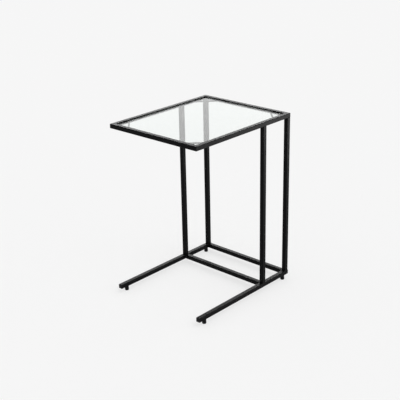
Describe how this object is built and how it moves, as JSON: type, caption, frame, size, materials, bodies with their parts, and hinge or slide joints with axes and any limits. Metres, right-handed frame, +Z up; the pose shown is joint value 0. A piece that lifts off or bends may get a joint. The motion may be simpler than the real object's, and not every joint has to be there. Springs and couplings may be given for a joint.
{
  "type": "side table",
  "caption": "C-shaped side table: square steel tube frame with an inset glass top, posts towards the back and low runners that slide under a sofa, on screw-adjusted levelling feet.",
  "frame": {"origin": "on the floor, under the middle of the table's bounding box", "axes": "+Z up, +X to the table's right, -Y out of the open front of the C"},
  "size_m": [0.4, 0.495, 0.642],
  "materials": {
    "frame_coat": "black powder coat",
    "glass": "clear tempered glass",
    "clear_silicone": "clear, soft",
    "cap_plastic": "moulded",
    "zinc_steel": "zinc plated",
    "black_bolt": "black zinc",
    "foot_nylon": "moulded",
    "foot_rubber": "moulded"
  },
  "bodies": {
    "frame": {"top_front_rail": "frame_coat", "top_back_rail": "frame_coat", "top_left_rail": "frame_coat", "top_right_rail": "frame_coat", "glass_bar_front_left": "frame_coat", "runner_cap_front_left": "cap_plastic", "glass_bar_front_right": "frame_coat", "runner_cap_front_right": "cap_plastic", "glass_bar_back_left": "frame_coat", "runner_cap_back_left": "cap_plastic", "glass_bar_back_right": "frame_coat", "runner_cap_back_right": "cap_plastic", "glass_pads": "clear_silicone", "glass_panel": "glass", "post_back_left": "frame_coat", "stub_back_left": "frame_coat", "post_plug_back_left": "zinc_steel", "post_middle_left": "frame_coat", "stub_middle_left": "frame_coat", "post_plug_middle_left": "zinc_steel", "post_back_right": "frame_coat", "stub_back_right": "frame_coat", "post_plug_back_right": "zinc_steel", "post_middle_right": "frame_coat", "stub_middle_right": "frame_coat", "post_plug_middle_right": "zinc_steel", "runner_left": "frame_coat", "runner_right": "frame_coat", "cross_bar_back": "frame_coat", "cross_bar_middle": "frame_coat", "stub_bolts": "black_bolt", "base_bolts": "black_bolt", "stub_nuts": "zinc_steel", "foot_insert_front_left": "zinc_steel", "foot_insert_back_left": "zinc_steel", "foot_insert_front_right": "zinc_steel", "foot_insert_back_right": "zinc_steel"},
    "foot_pad_front_left": {"foot_pad_front_left": "foot_rubber"},
    "foot_screw_front_left": {"foot_stud_front_left": "zinc_steel", "foot_collar_front_left": "foot_nylon"},
    "foot_pad_back_left": {"foot_pad_back_left": "foot_rubber"},
    "foot_screw_back_left": {"foot_stud_back_left": "zinc_steel", "foot_collar_back_left": "foot_nylon"},
    "foot_pad_front_right": {"foot_pad_front_right": "foot_rubber"},
    "foot_screw_front_right": {"foot_stud_front_right": "zinc_steel", "foot_collar_front_right": "foot_nylon"},
    "foot_pad_back_right": {"foot_pad_back_right": "foot_rubber"},
    "foot_screw_back_right": {"foot_stud_back_right": "zinc_steel", "foot_collar_back_right": "foot_nylon"}
  },
  "joints": [
    {"name": "foot_front_left_lift", "type": "slide", "parent": "frame", "child": "foot_pad_front_left", "axis": [0, 0, -1], "range_m": [0, 0.008]},
    {"name": "foot_front_left_turn", "type": "hinge", "parent": "foot_pad_front_left", "child": "foot_screw_front_left", "pos_m": [-0.192, -0.2145, 0.0125], "axis": [0, 0, -1], "range_deg": [0, 2880]},
    {"name": "foot_back_left_lift", "type": "slide", "parent": "frame", "child": "foot_pad_back_left", "axis": [0, 0, -1], "range_m": [0, 0.008]},
    {"name": "foot_back_left_turn", "type": "hinge", "parent": "foot_pad_back_left", "child": "foot_screw_back_left", "pos_m": [-0.192, 0.2215, 0.0125], "axis": [0, 0, -1], "range_deg": [0, 2880]},
    {"name": "foot_front_right_lift", "type": "slide", "parent": "frame", "child": "foot_pad_front_right", "axis": [0, 0, -1], "range_m": [0, 0.008]},
    {"name": "foot_front_right_turn", "type": "hinge", "parent": "foot_pad_front_right", "child": "foot_screw_front_right", "pos_m": [0.192, -0.2145, 0.0125], "axis": [0, 0, -1], "range_deg": [0, 2880]},
    {"name": "foot_back_right_lift", "type": "slide", "parent": "frame", "child": "foot_pad_back_right", "axis": [0, 0, -1], "range_m": [0, 0.008]},
    {"name": "foot_back_right_turn", "type": "hinge", "parent": "foot_pad_back_right", "child": "foot_screw_back_right", "pos_m": [0.192, 0.2215, 0.0125], "axis": [0, 0, -1], "range_deg": [0, 2880]}
  ],
  "couplings": [
    {"joint": "foot_front_left_turn", "follows": "foot_front_left_lift", "rad_per_m": 6283.2},
    {"joint": "foot_back_left_turn", "follows": "foot_back_left_lift", "rad_per_m": 6283.2},
    {"joint": "foot_front_right_turn", "follows": "foot_front_right_lift", "rad_per_m": 6283.2},
    {"joint": "foot_back_right_turn", "follows": "foot_back_right_lift", "rad_per_m": 6283.2}
  ]
}
